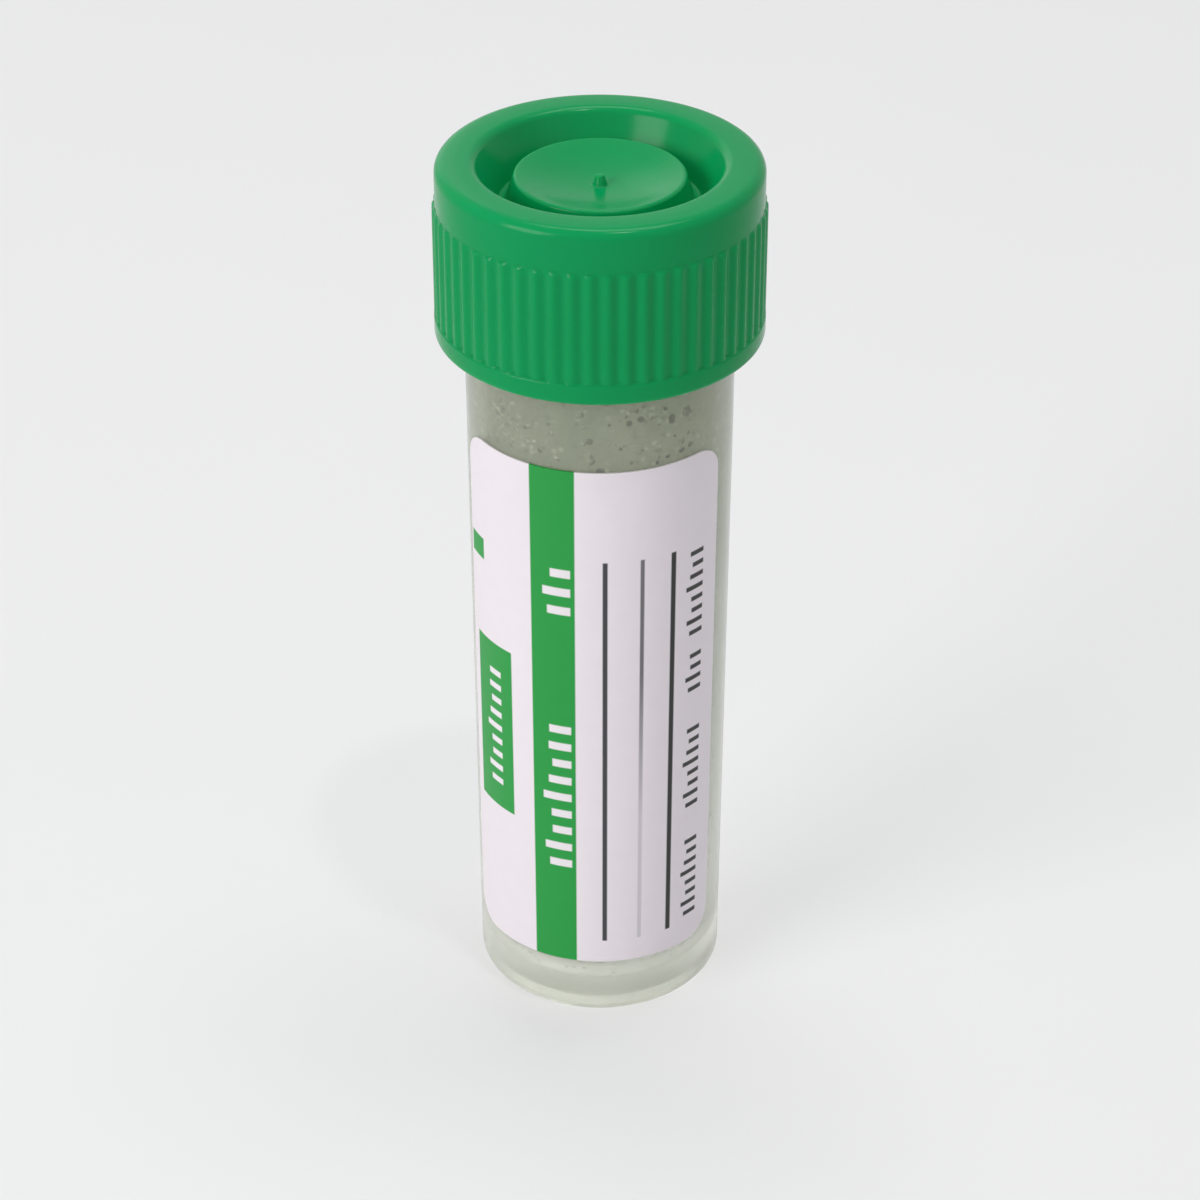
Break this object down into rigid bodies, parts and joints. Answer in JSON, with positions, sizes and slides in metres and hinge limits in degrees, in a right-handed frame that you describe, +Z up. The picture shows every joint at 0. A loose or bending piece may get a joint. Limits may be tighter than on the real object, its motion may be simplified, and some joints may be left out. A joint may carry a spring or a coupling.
{
  "type": "blood collection tube",
  "caption": "Screw-capped plastic tube with a flat base, a wrap-round paper label and dried additive on its inner wall, for taking and holding a small blood sample.",
  "frame": {"origin": "centre of the base on the surface that the tube stands on", "axes": "+Z up along the tube's axis, and the middle of the label faces -Y"},
  "size_m": [0.018, 0.018, 0.052],
  "materials": {
    "tube_plastic": "milky translucent polypropylene with a soft sheen",
    "cap_plastic": "moulded satin green polypropylene",
    "label_paper": "smooth white label paper with green and dark print",
    "dried_additive": "small glassy droplets dried on the wall"
  },
  "bodies": {
    "tube_body": {"tube": "tube_plastic", "label": "label_paper", "additive": "dried_additive"},
    "cap_body": {"cap": "cap_plastic"}
  },
  "joints": [
    {"name": "cap_lift", "type": "slide", "parent": "tube_body", "child": "cap_body", "axis": [0, 0, 1], "range_m": [0, 0.026]}
  ]
}
